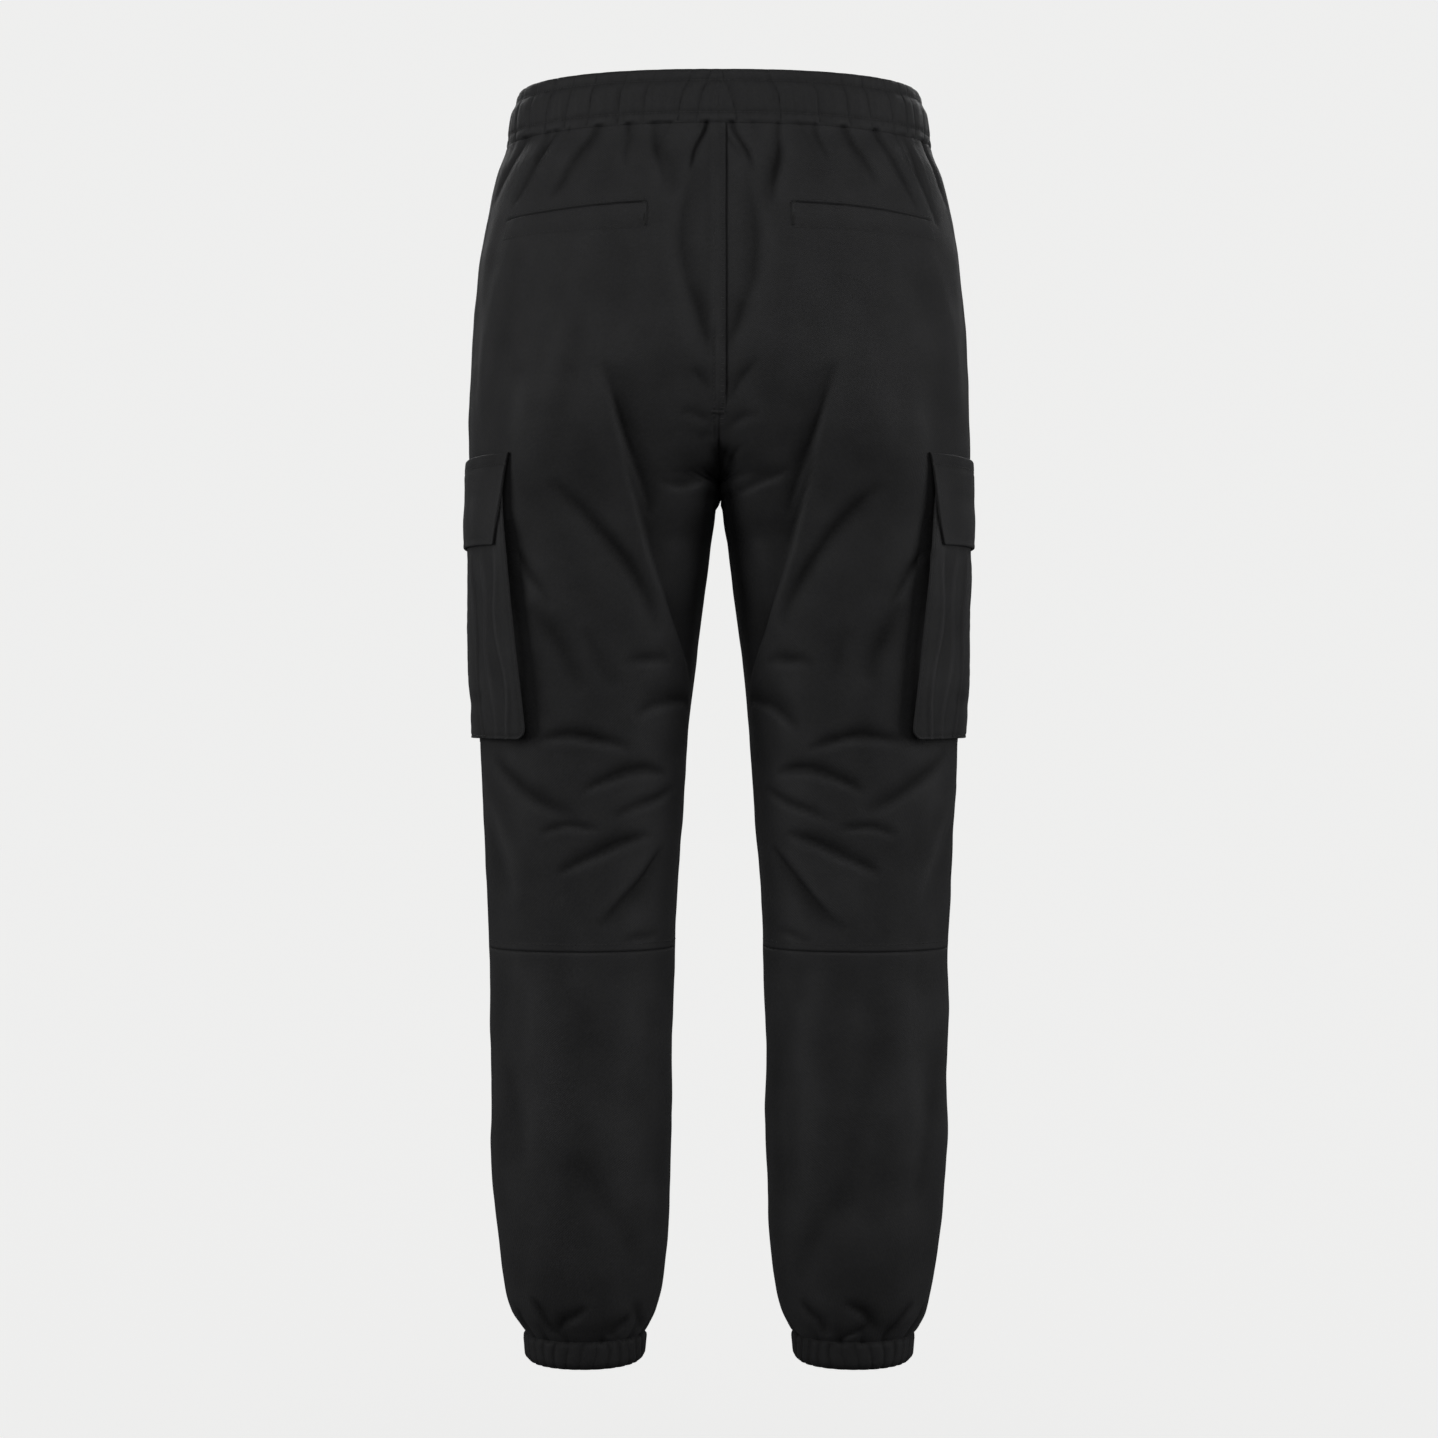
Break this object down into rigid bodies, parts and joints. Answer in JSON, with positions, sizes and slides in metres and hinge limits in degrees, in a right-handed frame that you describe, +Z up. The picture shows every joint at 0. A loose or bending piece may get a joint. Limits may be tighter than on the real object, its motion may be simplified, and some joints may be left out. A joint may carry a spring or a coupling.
{
  "type": "cargo trousers",
  "caption": "Cargo trousers filled out as when worn, with a gathered elastic waist, gathered ankle cuffs, flapped side pockets and welted back pockets.",
  "frame": {"origin": "middle of the waistband, halfway up it", "axes": "+Z up along the legs, -Y the seat and +Y the front, +X the wearer's right"},
  "size_m": [0.4052, 0.2548, 1.0065],
  "materials": {
    "twill": "matt",
    "cuff": "matt",
    "thread": "matt"
  },
  "bodies": {
    "root": {"waistband": "twill", "back_left": "twill", "back_calf_left": "twill", "front_left": "twill", "cuff_left": "cuff", "cargo_face_left": "twill", "cargo_gusset_left": "twill", "cargo_flap_left": "twill", "welt_left": "twill", "back_right": "twill", "back_calf_right": "twill", "front_right": "twill", "cuff_right": "cuff", "cargo_face_right": "twill", "cargo_gusset_right": "twill", "cargo_flap_right": "twill", "welt_right": "twill"}
  },
  "joints": []
}
